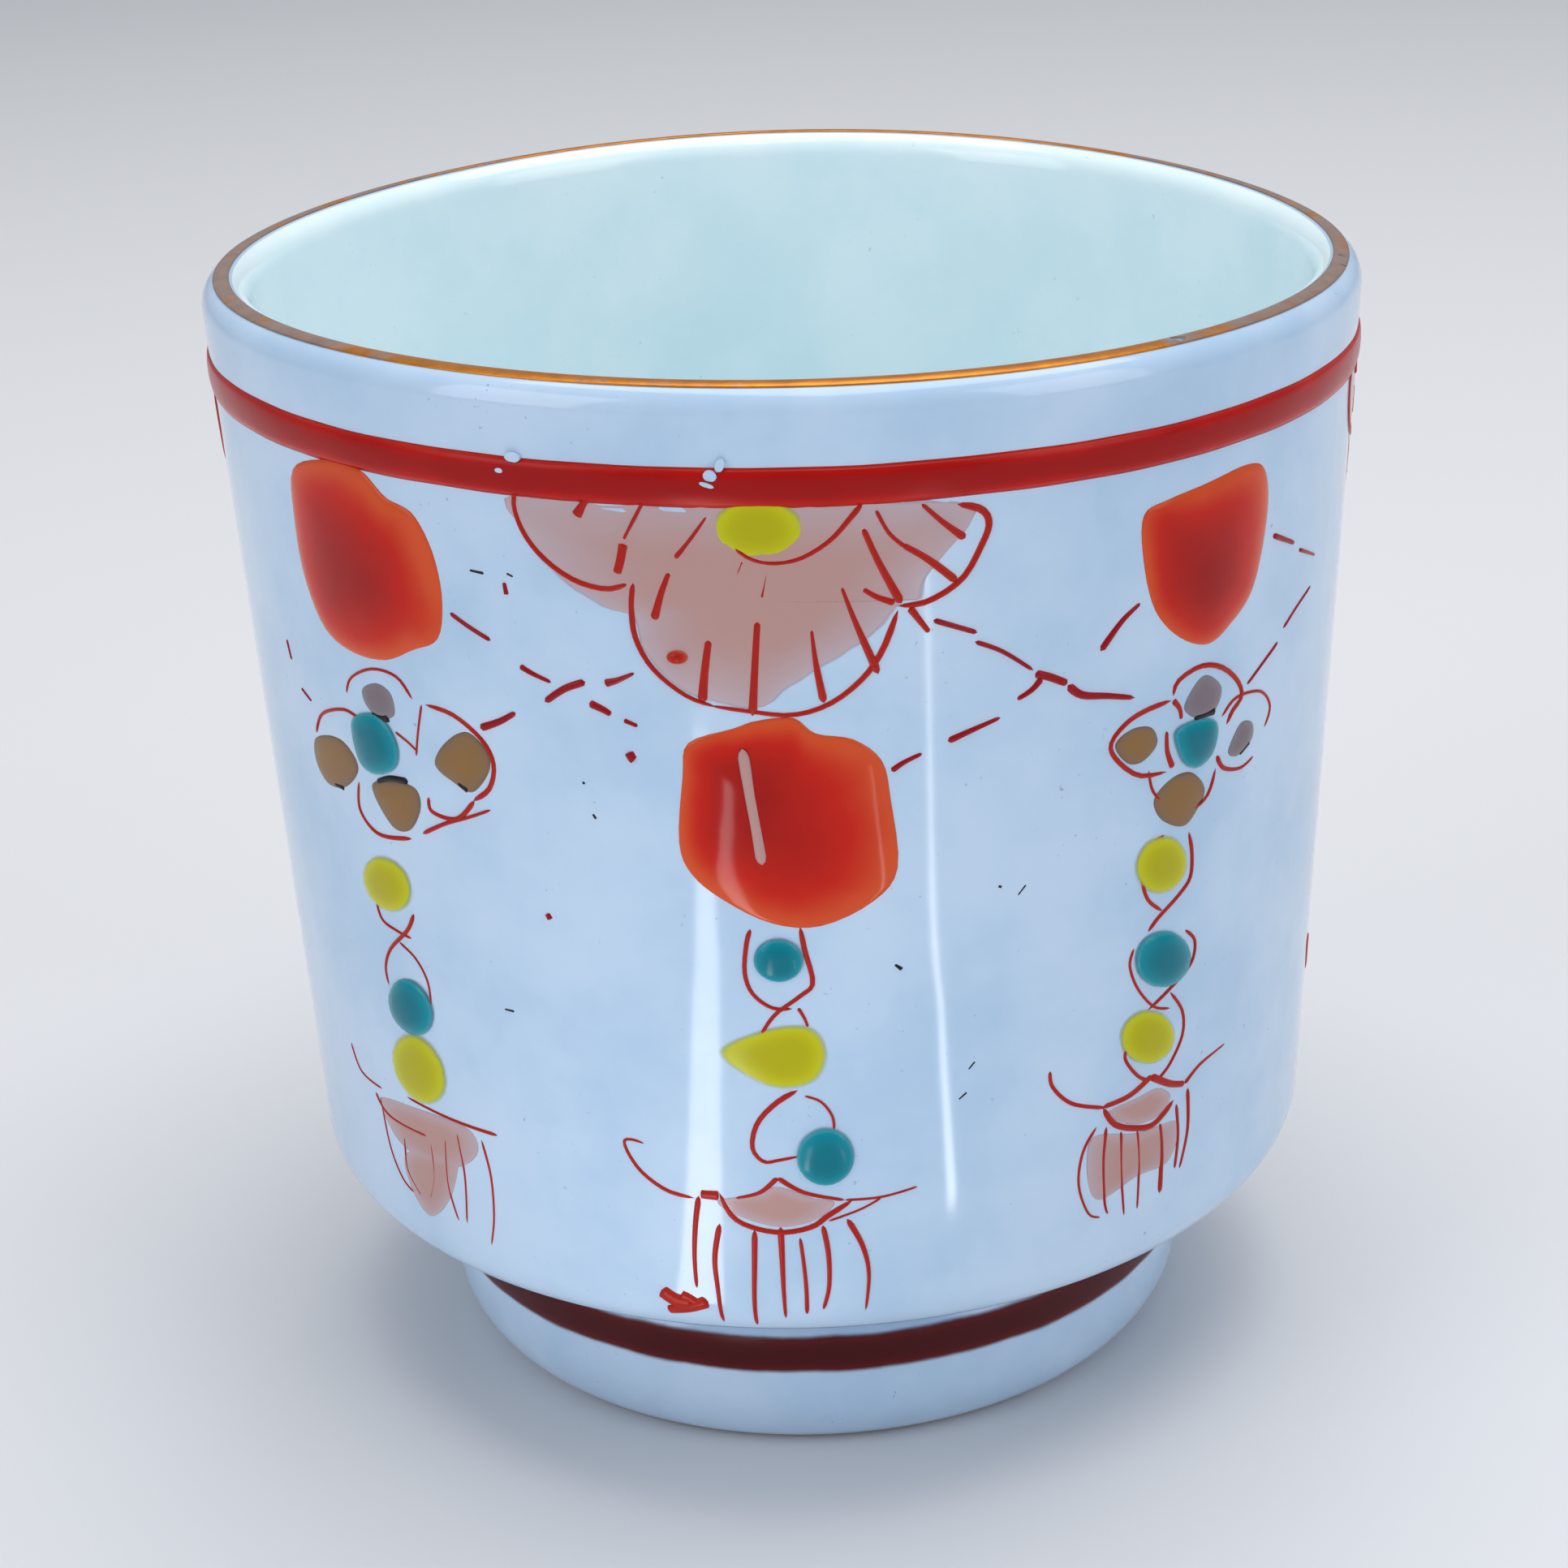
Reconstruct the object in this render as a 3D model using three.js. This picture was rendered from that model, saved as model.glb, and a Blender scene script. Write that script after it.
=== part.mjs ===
// Sake cup: a tall thrown porcelain cup on a turned foot ring, with red bands, a gilt lip
// and eight raised enamel garlands (the traditional yoraku pendant ornament).
// Millimetres, +Z up, origin on the table at the centre of the foot. The front faces -Y.
import * as THREE from "three";

// Body
const rimRadius = 27;
const cupHeight = 54.6;
const wallTaper = 0.051; // radius lost for each millimetre down the wall
const wallThickness = 2.2;
const lipRoundness = 0.55; // lip's crown height as a share of the wall thickness
const floorThickness = 3;
const shoulderTop = 12.2;
const shoulderRadialSquareness = 1.79;
const shoulderAxialSquareness = 2.18;
const innerCornerRadius = 7;

// Foot
const footHeight = 8.9;
const footOuterRadius = 18.9;
const footRestOuterRadius = 16.2;
const footRestInnerRadius = 14.6;
const footInnerRadius = 14.2;
const footEdgeRise = 3.3; // height of the rounded outer edge
const neckMargin = 0.7; // how far the body's underside reaches past the foot

// Bands and gilding
const upperBandTop = 3.2; // below the lip
const upperBandWidth = 1.7;
const lowerBandBottom = 4.9; // above the table
const lowerBandWidth = 1.8;
const bandThickness = 0.12;
const gildingWidth = 1.1;
const gildingThickness = 0.1;

// Raised enamel
const enamelClearance = 0.05; // between a facet's corner circle and the enamel's back
const pendantCount = 8;
const sidePendantShift = (7 * Math.PI) / 180; // the side pendants are painted a little towards the back
const washThickness = 0.18;
const jewelThickness = 0.6;
const beadThickness = 0.45;
const petalThickness = 0.3;
const tasselThickness = 0.3;
const rosetteReach = 9.6; // half the width of the rosette under the band
const rosetteDepth = 9.4;
const jewelWidth = 8.9;
const jewelHeight = 9.4;
const beadWidth = 2;
const beadHeight = 1.7;
const tasselWidth = 9.4;
const tasselHeight = 4.2;
const flowerWidth = 7.2;
const flowerHeight = 5.6;
const bandGap = 0.15; // from the upper band to the first piece of a pendant
// Bare glaze above each later piece of a pendant, from the top down.
const wideGaps = { jewel: 0.2, upper_bead: 0.35, middle_bead: 3, lower_bead: 3.2, tassel: 0.5 };
const narrowGaps = { flower: 1.1, upper_bead: 2.8, middle_bead: 4.1, lower_bead: 1.4, tassel: 0.6 };

// Facets
const bodySegments = 64;
const arcSteps = 8;

const group = new THREE.Group();
group.name = "sake_cup";

const finish = (color, roughness, metalness = 0) =>
  new THREE.MeshStandardMaterial({ color, roughness, metalness });
const porcelain = () => finish(0xd3e0ea, 0.12);
const redEnamel = () => finish(0xb01408, 0.22);
const darkRedEnamel = () => finish(0x6e0c08, 0.3);
const gilding = () => finish(0xb07a2a, 0.35, 0.8);
const yellowEnamel = () => finish(0xc8c616, 0.3);
const turquoiseEnamel = () => finish(0x0b8c92, 0.3);
const pinkWash = () => finish(0xc39a98, 0.3);
const brownEnamel = () => finish(0x94684a, 0.35);

function add(name, geometry, material, turn = 0) {
  const mesh = new THREE.Mesh(geometry, material);
  mesh.name = name;
  mesh.rotation.z = turn;
  group.add(mesh);
}

// A lathe turns its profile about Y, so the result is stood up with its axis along Z.
// The profile is given anticlockwise in (radius, height).
function turned(profile) {
  const points = profile.map(([radius, height]) => new THREE.Vector2(radius, height));
  return new THREE.LatheGeometry(points, bodySegments).rotateX(Math.PI / 2);
}

const wallRadius = (z) => rimRadius - wallTaper * (cupHeight - z);

// Points of a superellipse quarter from angle 0 to 90 degrees, both ends included.
function quarter(steps, point) {
  return Array.from({ length: steps + 1 }, (_, i) => point((Math.PI / 2) * (i / steps)));
}

const lipRise = wallThickness * lipRoundness;
const lipBase = cupHeight - lipRise;
const lipMiddle = wallRadius(lipBase) - wallThickness / 2;
const bowlFloor = footHeight + floorThickness;
const neckRadius = footOuterRadius + neckMargin;

// The lip's crown: half an ellipse from the outer wall over to the inner wall.
const lipPoint = (angle, lift = 0) => [
  lipMiddle + (wallThickness / 2 + lift) * Math.cos(angle),
  lipBase + (lipRise + lift) * Math.sin(angle),
];

function bodyProfile() {
  const shoulderRadius = wallRadius(shoulderTop);
  const shoulder = quarter(arcSteps, (angle) => [
    neckRadius + (shoulderRadius - neckRadius) * Math.sin(angle) ** (2 / shoulderRadialSquareness),
    shoulderTop - (shoulderTop - footHeight) * Math.cos(angle) ** (2 / shoulderAxialSquareness),
  ]);
  const crown = Array.from({ length: arcSteps + 1 }, (_, i) => lipPoint((Math.PI * i) / arcSteps));
  const innerBottom = wallRadius(bowlFloor + innerCornerRadius) - wallThickness;
  const corner = quarter(arcSteps - 3, (angle) => [
    innerBottom - innerCornerRadius * (1 - Math.cos(angle)),
    bowlFloor + innerCornerRadius * (1 - Math.sin(angle)),
  ]);
  return [[0, footHeight], ...shoulder, ...crown, ...corner, [0, bowlFloor]];
}

function footProfile() {
  const edge = quarter(5, (angle) => [
    footRestOuterRadius + (footOuterRadius - footRestOuterRadius) * Math.sin(angle),
    footEdgeRise * (1 - Math.cos(angle)),
  ]);
  return [
    [footRestInnerRadius, 0],
    ...edge,
    [footOuterRadius, footHeight],
    [footInnerRadius, footHeight],
    [footRestInnerRadius, 0],
  ];
}

// A thin band round a wall whose radius at a height is given by a function.
function bandProfile(bottom, top, radiusAt) {
  const inner = (z) => radiusAt(z) + enamelClearance;
  const outer = (z) => inner(z) + bandThickness;
  return [
    [inner(bottom), bottom],
    [outer(bottom), bottom],
    [outer(top), top],
    [inner(top), top],
    [inner(bottom), bottom],
  ];
}

// The gilding lies over the outer half of the lip's crown.
function gildingProfile() {
  const span = gildingWidth / wallThickness;
  const start = Math.PI / 2 - 2 * span;
  const angles = Array.from({ length: 6 }, (_, i) => start + (2 * span * i) / 5 + span / 2);
  const low = angles.map((angle) => lipPoint(angle, enamelClearance));
  const high = angles.map((angle) => lipPoint(angle, enamelClearance + gildingThickness));
  return [...high, ...low.reverse(), high[0]];
}

// One drop of enamel, domed on its face and seated on the wall. The outline holds points
// (across, up) in millimetres about its middle, in anticlockwise order as seen from outside.
function enamelDrop(outline, middleHeight, thickness, rings, sides) {
  const loop = new THREE.CatmullRomCurve3(
    outline.map(([x, y]) => new THREE.Vector3(x, y, 0)),
    true,
  ).getPoints(sides).slice(0, sides);
  const positions = [];
  const seat = (x, y, lift) => {
    const z = middleHeight + y;
    const angle = x / wallRadius(middleHeight) - Math.PI / 2;
    const radius = wallRadius(z) + enamelClearance + lift;
    positions.push(radius * Math.cos(angle), radius * Math.sin(angle), z);
    return positions.length / 3 - 1;
  };
  const edge = loop.map((p) => seat(p.x, p.y, 0));
  const face = (height) => {
    const inner = [];
    for (let ring = 1; ring < rings; ring += 1) {
      const share = 1 - ring / rings;
      const lift = height * Math.sqrt(1 - share * share);
      inner.push(loop.map((p) => seat(p.x * share, p.y * share, lift)));
    }
    return { loops: [edge, ...inner], middle: seat(0, 0, height) };
  };
  const index = [];
  const close = ({ loops, middle }, outward) => {
    const triangle = (a, b, c) => index.push(...(outward ? [a, b, c] : [a, c, b]));
    for (let i = 0; i < sides; i += 1) {
      const next = (i + 1) % sides;
      for (let ring = 0; ring + 1 < loops.length; ring += 1) {
        triangle(loops[ring][i], loops[ring][next], loops[ring + 1][next]);
        triangle(loops[ring][i], loops[ring + 1][next], loops[ring + 1][i]);
      }
      triangle(loops.at(-1)[i], loops.at(-1)[next], middle);
    }
  };
  close(face(thickness), true);
  close(face(0), false);
  const geometry = new THREE.BufferGeometry();
  geometry.setAttribute("position", new THREE.Float32BufferAttribute(positions, 3));
  geometry.setIndex(index);
  return geometry;
}

const scaled = (shape, width, height) => shape.map(([x, y]) => [(x * width) / 2, (y * height) / 2]);

// Outlines in halves of their width and height.
const roundShape = [[1, 0], [0.7, 0.7], [0, 1], [-0.7, 0.7], [-1, 0], [-0.7, -0.7], [0, -1], [0.7, -0.7]];
const jewelShape = [
  [1, -0.15], [0.85, 0.7], [0.3, 0.98], [-0.4, 0.98], [-0.95, 0.68],
  [-0.98, -0.2], [-0.78, -0.72], [0, -1], [0.88, -0.72],
];
const rosetteShape = [
  [1, 1], [0.35, 1], [-0.35, 1], [-1, 1], [-0.92, 0.3], [-0.55, -0.05],
  [-0.48, -0.6], [0, -1], [0.48, -0.6], [0.55, -0.05], [0.92, 0.3],
];
const tasselShape = [
  [1, 0.2], [0.55, 0.75], [0, 1], [-0.5, 0.55], [-1, 0.9], [-0.75, 0], [-0.4, -0.7], [0.05, -1], [0.6, -0.75],
];
const flowerShape = [
  [1, 0.1], [0.62, 0.42], [0.2, 1], [-0.3, 0.95], [-0.55, 0.42], [-1, 0.1],
  [-0.6, -0.45], [-0.15, -1], [0.3, -0.95], [0.62, -0.42],
];

add("cup_body", turned(bodyProfile()), porcelain());
add("foot_ring", turned(footProfile()), porcelain());
add("lip_gilding", turned(gildingProfile()), gilding());

const bandTop = cupHeight - upperBandTop;
const bandBottom = bandTop - upperBandWidth;
add("upper_band", turned(bandProfile(bandBottom, bandTop, wallRadius)), redEnamel());
add(
  "lower_band",
  turned(bandProfile(lowerBandBottom, lowerBandBottom + lowerBandWidth, () => footOuterRadius)),
  darkRedEnamel(),
);

// A pendant's pieces hang one below the other from the upper band.
function pendant(tag, turn, pieces, gaps) {
  let top = bandBottom - bandGap;
  for (const { name, shape, width, height, thickness, material, rings, sides } of pieces) {
    top -= gaps[name] ?? 0;
    const geometry = enamelDrop(scaled(shape, width, height), top - height / 2, thickness, rings, sides);
    add(`${tag}_${name}`, geometry, material(), turn);
    top -= height;
  }
}

const rosette = {
  name: "rosette", shape: rosetteShape, width: 2 * rosetteReach, height: rosetteDepth,
  thickness: washThickness, material: pinkWash, rings: 4, sides: 26,
};
const jewel = {
  name: "jewel", shape: jewelShape, width: jewelWidth, height: jewelHeight,
  thickness: jewelThickness, material: redEnamel, rings: 3, sides: 16,
};
const flower = {
  name: "flower", shape: flowerShape, width: flowerWidth, height: flowerHeight,
  thickness: petalThickness, material: brownEnamel, rings: 3, sides: 16,
};
const bead = (name, material) => ({
  name, shape: roundShape, width: beadWidth, height: beadHeight,
  thickness: beadThickness, material, rings: 2, sides: 12,
});
const tassel = {
  name: "tassel", shape: tasselShape, width: tasselWidth, height: tasselHeight,
  thickness: tasselThickness, material: redEnamel, rings: 3, sides: 18,
};
const widePieces = [
  rosette, jewel, bead("upper_bead", turquoiseEnamel), bead("middle_bead", yellowEnamel),
  bead("lower_bead", turquoiseEnamel), tassel,
];
const narrowPieces = [
  jewel, flower, bead("upper_bead", yellowEnamel), bead("middle_bead", turquoiseEnamel),
  bead("lower_bead", yellowEnamel), tassel,
];

// Wide pendants stand at the front, the sides and the back, narrow ones between them.
for (let i = 0; i < pendantCount; i += 1) {
  const evenTurn = (2 * Math.PI * i) / pendantCount;
  const side = i % 2 === 0 ? Math.sin(evenTurn) : 0;
  const turn = evenTurn + side * sidePendantShift;
  if (i % 2 === 0) pendant(`wide_pendant_${i + 1}`, turn, widePieces, wideGaps);
  else pendant(`narrow_pendant_${i + 1}`, turn, narrowPieces, narrowGaps);
}

export default group;
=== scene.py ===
# %% [markdown]
# This lesson dresses a small porcelain sake cup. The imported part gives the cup's construction and its
# real size, and stays as it is. Every piece made here is set from the same sizes, so that it lies on
# the wall that carries it.

# %% Load the frame
import math
import random

import bmesh
import bpy
from mathutils import Matrix, Vector


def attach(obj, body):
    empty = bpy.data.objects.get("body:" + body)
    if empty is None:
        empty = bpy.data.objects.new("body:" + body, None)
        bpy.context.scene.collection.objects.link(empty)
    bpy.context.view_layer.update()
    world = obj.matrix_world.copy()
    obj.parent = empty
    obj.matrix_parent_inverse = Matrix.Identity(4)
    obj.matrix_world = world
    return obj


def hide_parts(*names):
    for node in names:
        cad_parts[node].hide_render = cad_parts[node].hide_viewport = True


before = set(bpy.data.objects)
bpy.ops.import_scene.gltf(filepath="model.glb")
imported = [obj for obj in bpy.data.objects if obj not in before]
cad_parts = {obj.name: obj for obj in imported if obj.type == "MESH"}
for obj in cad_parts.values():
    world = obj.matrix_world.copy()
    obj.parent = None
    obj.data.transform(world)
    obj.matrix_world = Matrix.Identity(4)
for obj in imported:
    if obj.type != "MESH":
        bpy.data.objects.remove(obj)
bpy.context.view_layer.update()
MM = 0.001
random.seed(7)

# %% [markdown]
# The cup's outline comes first. A thrown wall leans out in a nearly straight line, turns in over a soft
# shoulder and meets a turned foot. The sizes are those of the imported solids, in metres.

# %% The cup's sizes
CUP_HEIGHT = 54.6 * MM
RIM_RADIUS = 27 * MM
WALL_TAPER = 0.051
WALL = 2.2 * MM
LIP_RISE = 0.55 * WALL
FLOOR_TOP = 11.9 * MM
INNER_CORNER = 7 * MM
SHOULDER_TOP = 12.2 * MM
FOOT_TOP = 8.9 * MM
FOOT_RADIUS = 18.9 * MM
NECK_RADIUS = 19.6 * MM
FOOT_REST = (14.6 * MM, 16.2 * MM)
FOOT_EDGE_RISE = 3.3 * MM
RADIAL_SQUARENESS = 1.79
AXIAL_SQUARENESS = 2.18
BAND = (49.7 * MM, 51.4 * MM)
LOWER_BAND = (4.7 * MM, 6.9 * MM)
NEAR = 0.1 * MM
TURN = 2 * math.pi


def wall_radius(z):
    """Outer radius of the cup at a height, over the wall, the shoulder and the foot."""
    straight = RIM_RADIUS - WALL_TAPER * (CUP_HEIGHT - z)
    if z >= SHOULDER_TOP:
        return straight
    if z <= FOOT_TOP:
        return FOOT_RADIUS
    drop = (SHOULDER_TOP - z) / (SHOULDER_TOP - FOOT_TOP)
    lean = math.sqrt(max(0, 1 - drop ** AXIAL_SQUARENESS))
    top = RIM_RADIUS - WALL_TAPER * (CUP_HEIGHT - SHOULDER_TOP)
    return NECK_RADIUS + (top - NECK_RADIUS) * lean ** (2 / RADIAL_SQUARENESS)


# %% [markdown]
# A hand-thrown cup is never quite round. It dries a little out of true: the lip dips at the right and
# rolls gently in height. One function gives every piece the same small movement, so the painting
# stays on the wall.

# %% The small movements of a fired cup
LEAN = 0.1 * MM
LIP_DIP = 0.22 * MM
OUT_OF_ROUND = 0.17 * MM
LIP_ROLL = (-0.23 * MM, -0.1 * MM)


def settle(p):
    """Moves a point of the true cup to where the fired cup has it."""
    share = p.z / CUP_HEIGHT
    radius = math.hypot(p.x, p.y)
    if radius < 1e-6 or share < 0:
        return p
    round_angle = math.atan2(p.y, p.x)
    reach = share ** 2 * min(1, radius / RIM_RADIUS)
    radius_new = radius - OUT_OF_ROUND * math.cos(3 * round_angle) * reach
    rise = LIP_ROLL[0] * math.cos(2 * round_angle) + LIP_ROLL[1] * math.sin(3 * round_angle)
    rise -= LIP_DIP * p.x / RIM_RADIUS
    return Vector((
        p.x * radius_new / radius + LEAN * share,
        p.y * radius_new / radius,
        p.z + rise * reach,
    ))


# %% [markdown]
# The camera stands where the photograph was taken. Its place and its long lens were found by matching
# the lip, the wall, the band and the foot of the cup. The frame is square, and pixels are counted from
# the top left corner.

# %% Camera
FRAME_PIXELS = 1932
FOCAL_PIXELS = 3991.6
CENTRE_PIXEL = (1028.6, 962.4)
CAMERA_PLACE = Vector((0, -150.4, 87.9)) * MM
PITCH, YAW, ROLL = math.radians(21.97), math.radians(0.63), math.radians(-1.82)
SENSOR = 36

ahead = Vector((math.sin(YAW) * math.cos(PITCH), math.cos(YAW) * math.cos(PITCH), -math.sin(PITCH)))
level = Vector((math.cos(YAW), -math.sin(YAW), 0))
above = level.cross(ahead)
right = level * math.cos(ROLL) + above * math.sin(ROLL)
up = above * math.cos(ROLL) - level * math.sin(ROLL)

camera_data = bpy.data.cameras.new("camera")
camera_data.sensor_width = SENSOR
camera_data.lens = SENSOR * FOCAL_PIXELS / FRAME_PIXELS
camera_data.shift_x = (FRAME_PIXELS / 2 - CENTRE_PIXEL[0]) / FRAME_PIXELS
camera_data.shift_y = (CENTRE_PIXEL[1] - FRAME_PIXELS / 2) / FRAME_PIXELS
camera_data.clip_start = 0.005
camera = bpy.data.objects.new("camera", camera_data)
bpy.context.scene.collection.objects.link(camera)
axes = Matrix((right, up, -ahead)).transposed().to_4x4()
camera.matrix_world = Matrix.Translation(CAMERA_PLACE) @ axes
bpy.context.scene.camera = camera


def on_wall(pixel):
    """Where the sight line of a pixel meets the cup's wall, as (angle from the front, height)."""
    x = (pixel[0] - CENTRE_PIXEL[0]) / FOCAL_PIXELS
    y = (CENTRE_PIXEL[1] - pixel[1]) / FOCAL_PIXELS
    ray = ahead + right * x + up * y
    height = CUP_HEIGHT / 2
    for _ in range(12):
        radius = wall_radius(height)
        a = ray.x ** 2 + ray.y ** 2
        b = CAMERA_PLACE.x * ray.x + CAMERA_PLACE.y * ray.y
        c = CAMERA_PLACE.x ** 2 + CAMERA_PLACE.y ** 2 - radius ** 2
        reach = (-b - math.sqrt(max(0, b * b - a * c))) / a
        hit = CAMERA_PLACE + ray * reach
        height = 0.5 * (height + hit.z)
    return Vector((math.atan2(hit.x, -hit.y), height))


print("the middle of the front jewel is at", [round(v, 4) for v in on_wall((968, 1015))])

# %% [markdown]
# Several finishes share the same two effects. Fired glaze and enamel are mottled, with fine dust in
# them, and a drop of enamel is thin at its edge and deep where it pooled. Each effect is a node group,
# and each material sets its own values.


# %% Shared effects
def group_node(tree, group, **values):
    node = tree.nodes.new("ShaderNodeGroup")
    node.node_tree = group
    for name, value in values.items():
        node.inputs[name.replace("_", " ").capitalize()].default_value = value
    return node


def new_group(name, inputs, outputs):
    group = bpy.data.node_groups.new(name, "ShaderNodeTree")
    for label, kind, default in inputs:
        socket = group.interface.new_socket(label, in_out="INPUT", socket_type=kind)
        socket.default_value = default
    for label, kind in outputs:
        group.interface.new_socket(label, in_out="OUTPUT", socket_type=kind)
    return group, group.nodes.new("NodeGroupInput"), group.nodes.new("NodeGroupOutput")


def noise(tree, scale, detail=3, rough=0.55, stretch=None):
    coords = tree.nodes.new("ShaderNodeTexCoord")
    texture = tree.nodes.new("ShaderNodeTexNoise")
    texture.inputs["Scale"].default_value = scale
    texture.inputs["Detail"].default_value = detail
    texture.inputs["Roughness"].default_value = rough
    source = coords.outputs["Object"]
    if stretch:
        mapping = tree.nodes.new("ShaderNodeMapping")
        mapping.inputs["Scale"].default_value = stretch
        tree.links.new(source, mapping.inputs["Vector"])
        source = mapping.outputs["Vector"]
    tree.links.new(source, texture.inputs["Vector"])
    return texture.outputs["Fac"]


def ramp_value(tree, value, low, high, out_low=0.0, out_high=1.0):
    node = tree.nodes.new("ShaderNodeMapRange")
    node.interpolation_type = "SMOOTHSTEP"
    tree.links.new(value, node.inputs["Value"])
    for name, number in zip(("From Min", "From Max", "To Min", "To Max"), (low, high, out_low, out_high)):
        node.inputs[name].default_value = number
    return node.outputs["Result"]


def mix(tree, factor, first, second):
    node = tree.nodes.new("ShaderNodeMix")
    node.data_type = "RGBA"
    tree.links.new(factor, node.inputs["Factor"])
    for socket, value in ((node.inputs["A"], first), (node.inputs["B"], second)):
        if isinstance(value, tuple):
            socket.default_value = value
        else:
            tree.links.new(value, socket)
    return node.outputs["Result"]


def math_node(tree, operation, first, second):
    node = tree.nodes.new("ShaderNodeMath")
    node.operation = operation
    for socket, value in zip(node.inputs, (first, second)):
        if isinstance(value, (int, float)):
            socket.default_value = value
        else:
            tree.links.new(value, socket)
    return node.outputs["Value"]


def make_mottle():
    """Soft clouds of tone with fine dark dust, put out as a colour and a height."""
    group, inp, out = new_group(
        "fired_mottle",
        [("Light", "NodeSocketColor", (1, 1, 1, 1)), ("Deep", "NodeSocketColor", (0, 0, 0, 1)),
         ("Dust", "NodeSocketColor", (0, 0, 0, 1)), ("Dust amount", "NodeSocketFloat", 0.5)],
        [("Color", "NodeSocketColor"), ("Height", "NodeSocketFloat")],
    )
    clouds = ramp_value(group, noise(group, 130, 4), 0.32, 0.7)
    tone = mix(group, clouds, inp.outputs["Light"], inp.outputs["Deep"])
    specks = ramp_value(group, noise(group, 2600, 2, 0.7), 0.69, 0.76)
    where = ramp_value(group, noise(group, 210, 2), 0.45, 0.65)
    dusty = math_node(group, "MULTIPLY", specks, where)
    amount = math_node(group, "MULTIPLY", dusty, inp.outputs["Dust amount"])
    group.links.new(mix(group, amount, tone, inp.outputs["Dust"]), out.inputs["Color"])
    group.links.new(noise(group, 95, 2, 0.4), out.inputs["Height"])
    return group


def make_pooling():
    """How deep the enamel lies: the pool attribute of the piece, stirred by noise."""
    group, inp, out = new_group(
        "enamel_pooling",
        [("Edge color", "NodeSocketColor", (1, 1, 1, 1)), ("Thin color", "NodeSocketColor", (1, 1, 1, 1)),
         ("Deep color", "NodeSocketColor", (0, 0, 0, 1)), ("Stir", "NodeSocketFloat", 0.3),
         ("Grain", "NodeSocketFloat", 400.0)],
        [("Color", "NodeSocketColor"), ("Cover", "NodeSocketFloat"), ("Height", "NodeSocketFloat")],
    )
    pool = group.nodes.new("ShaderNodeAttribute")
    pool.attribute_name = "pool"
    cloud = group.nodes.new("ShaderNodeTexNoise")
    coords = group.nodes.new("ShaderNodeTexCoord")
    group.links.new(coords.outputs["Object"], cloud.inputs["Vector"])
    group.links.new(inp.outputs["Grain"], cloud.inputs["Scale"])
    cloud.inputs["Detail"].default_value = 3
    centred = math_node(group, "SUBTRACT", cloud.outputs["Fac"], 0.5)
    stirred = math_node(group, "MULTIPLY", centred, inp.outputs["Stir"])
    depth = math_node(group, "ADD", pool.outputs["Fac"], stirred)
    past_edge = ramp_value(group, depth, 0.0, 0.42)
    thin = mix(group, past_edge, inp.outputs["Edge color"], inp.outputs["Thin color"])
    pooled = ramp_value(group, depth, 0.3, 0.95)
    deep = mix(group, pooled, thin, inp.outputs["Deep color"])
    group.links.new(deep, out.inputs["Color"])
    group.links.new(depth, out.inputs["Cover"])
    group.links.new(cloud.outputs["Fac"], out.inputs["Height"])
    return group


MOTTLE = make_mottle()
POOLING = make_pooling()
print("shared effects", MOTTLE.name, POOLING.name)

# %% [markdown]
# Colours are noted as they look, in red, green and blue from 0 to 255, and turned into the linear
# values that a shader works with. Glaze is glass over clay, so it is smooth and has the usual gloss of
# glass. Its faint waves come from a bump.


# %% Glaze, clay and enamel materials
def tint(r, g, b):
    def linear(v):
        v /= 255
        return v / 12.92 if v <= 0.04045 else ((v + 0.055) / 1.055) ** 2.4
    return (linear(r), linear(g), linear(b), 1)


def new_material(name, roughness, metallic=0.0):
    material = bpy.data.materials.new(name)
    material.use_nodes = True
    shader = material.node_tree.nodes["Principled BSDF"]
    shader.inputs["Roughness"].default_value = roughness
    shader.inputs["Metallic"].default_value = metallic
    return material, material.node_tree, shader


def bump(tree, shader, height, distance, strength=1.0):
    node = tree.nodes.new("ShaderNodeBump")
    node.inputs["Distance"].default_value = distance
    node.inputs["Strength"].default_value = strength
    tree.links.new(height, node.inputs["Height"])
    tree.links.new(node.outputs["Normal"], shader.inputs["Normal"])


def glazed(name, light, deep, dust, amount, roughness=0.09, wave=0.12 * MM):
    material, tree, shader = new_material(name, roughness)
    mottle = group_node(tree, MOTTLE, light=light, deep=deep, dust=dust, dust_amount=amount)
    tree.links.new(mottle.outputs["Color"], shader.inputs["Base Color"])
    bump(tree, shader, mottle.outputs["Height"], wave)
    return material


ENAMEL_WAVE = 0.05 * MM
ENAMEL_GLOSS = 0.2


def enamel(name, edge, thin, deep, stir=0.35, grain=330.0, roughness=0.14, soft=0.0, cover=1.0):
    """Enamel whose edge fades over the share soft of its depth, and which covers up to cover."""
    material, tree, shader = new_material(name, roughness)
    shader.inputs["Specular IOR Level"].default_value = ENAMEL_GLOSS
    pooled = group_node(
        tree, POOLING, edge_color=edge, thin_color=thin, deep_color=deep, stir=stir, grain=grain)
    tree.links.new(pooled.outputs["Color"], shader.inputs["Base Color"])
    if soft > 0:
        alpha = ramp_value(tree, pooled.outputs["Cover"], 0.0, soft, 0.0, cover)
        tree.links.new(alpha, shader.inputs["Alpha"])
    bump(tree, shader, pooled.outputs["Height"], ENAMEL_WAVE)
    return material


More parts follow.
